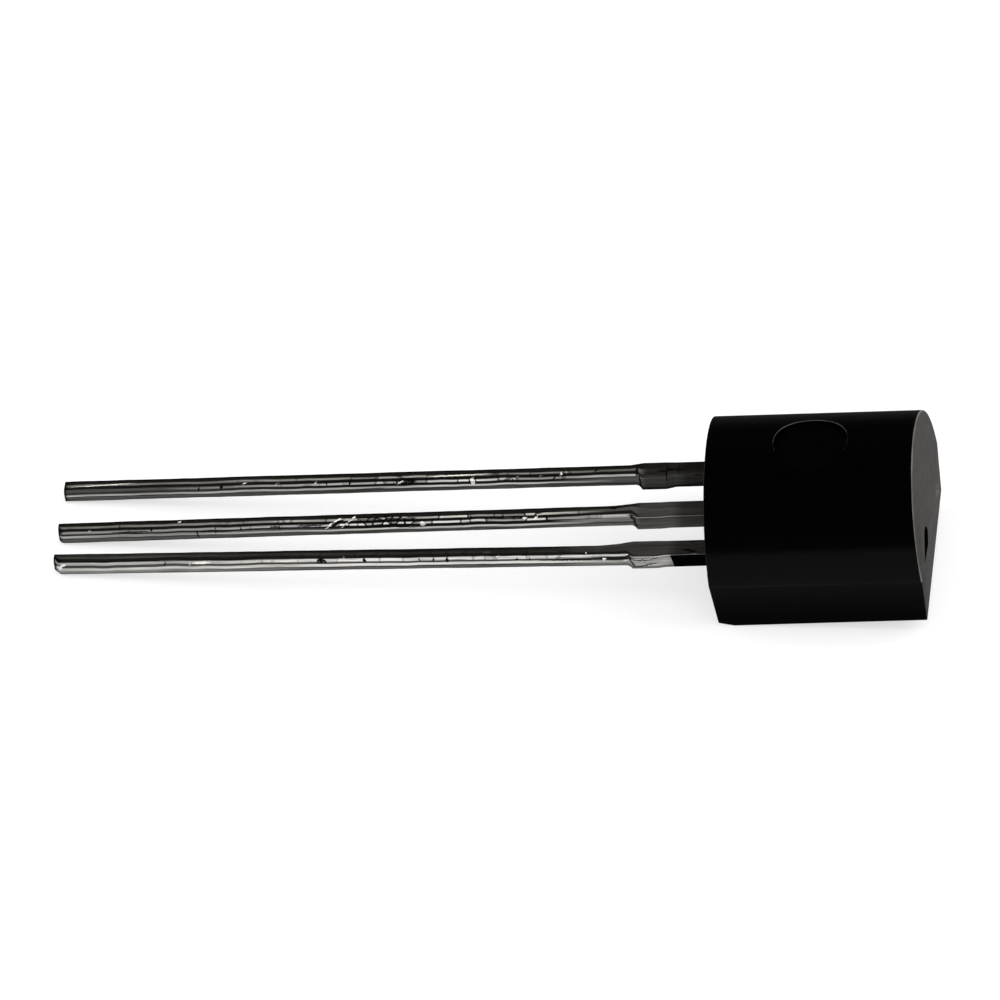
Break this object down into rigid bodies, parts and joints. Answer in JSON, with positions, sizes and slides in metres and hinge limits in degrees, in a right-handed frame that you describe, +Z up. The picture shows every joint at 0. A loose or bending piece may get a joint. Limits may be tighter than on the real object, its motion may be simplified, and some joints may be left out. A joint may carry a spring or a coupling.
{
  "type": "to-92 transistor",
  "caption": "Small-signal transistor: a D-shaped black moulded case with a flat side and straight in-line leads for soldering through a circuit board.",
  "frame": {"origin": "middle of the part's box in X and Y, on the surface that it lies on", "axes": "+X along the leads from their tips to the case, raised by the rest pose's lean, +Y across the lead row, from the emitter's side to the base's, +Z up, from the flat to the round back"},
  "size_m": [0.019, 0.0044, 0.0038],
  "materials": {
    "case": "black epoxy moulding compound, satin from the mould",
    "leads": "dark tinned copper alloy with draw lines, scratches and dull shoulders",
    "die_attach": "solder layer",
    "silicon": "polished silicon",
    "bond_wires": "drawn gold wire"
  },
  "bodies": {
    "root": {"case": "case", "collector_lead": "leads", "base_lead": "leads", "emitter_lead": "leads", "die_attach": "die_attach", "die": "silicon", "base_wire": "bond_wires", "emitter_wire": "bond_wires"}
  },
  "joints": []
}
